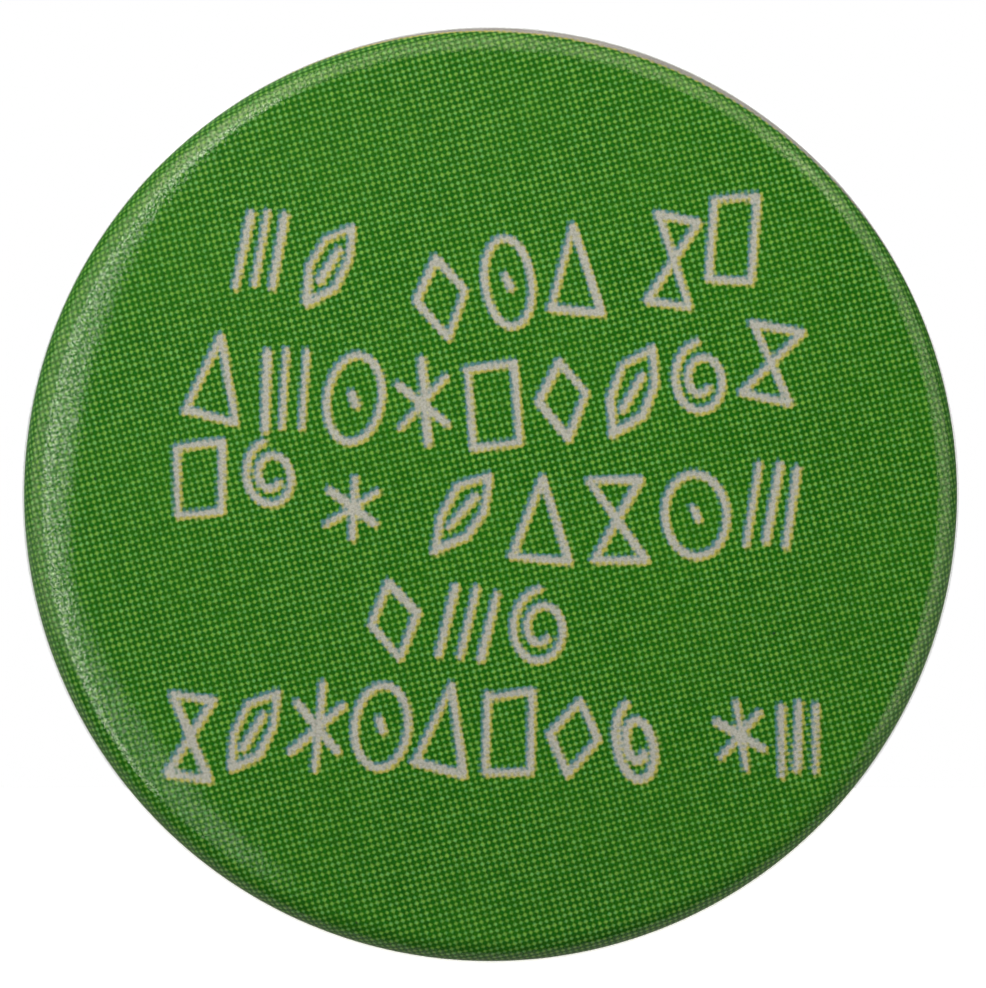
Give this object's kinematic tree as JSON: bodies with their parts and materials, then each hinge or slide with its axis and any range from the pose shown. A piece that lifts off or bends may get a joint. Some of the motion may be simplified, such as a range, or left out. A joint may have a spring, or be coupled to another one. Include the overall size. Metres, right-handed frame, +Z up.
{
  "type": "button badge",
  "caption": "Round pin-back button badge: domed tin face with a printed paper disc under clear film, dished back plate and a sprung wire pin with a catch.",
  "frame": {"origin": "on the centre line of the pin's straight shank, behind the badge's vertical middle line, 2.3 mm above the badge's own axis", "axes": "+X along the pin towards its point, which is to the right of a person looking at the face; +Y out of the back, so the face looks towards -Y; +Z up as worn"},
  "size_m": [0.0318, 0.0047, 0.0318],
  "materials": {
    "clear_film": "clear polyester film, glossy, lightly scuffed",
    "printed_paper": "offset print with a visible halftone screen on white paper",
    "tinplate": "bright tinplate, lightly rubbed",
    "spring_wire": "drawn spring steel wire, nickel plated"
  },
  "bodies": {
    "badge": {"clear_film": "clear_film", "printed_paper": "printed_paper", "front_shell": "tinplate", "back_plate": "tinplate", "pin_base": "spring_wire"},
    "pin": {"pin_arm": "spring_wire"}
  },
  "joints": [
    {"name": "pin_open", "type": "hinge", "parent": "badge", "child": "pin", "pos_m": [-0.01179, -0.00045, -0.0023], "axis": [0, 0.6428, 0.766], "range_deg": [0, 40], "stiffness_Nm_per_rad": 0.12}
  ]
}
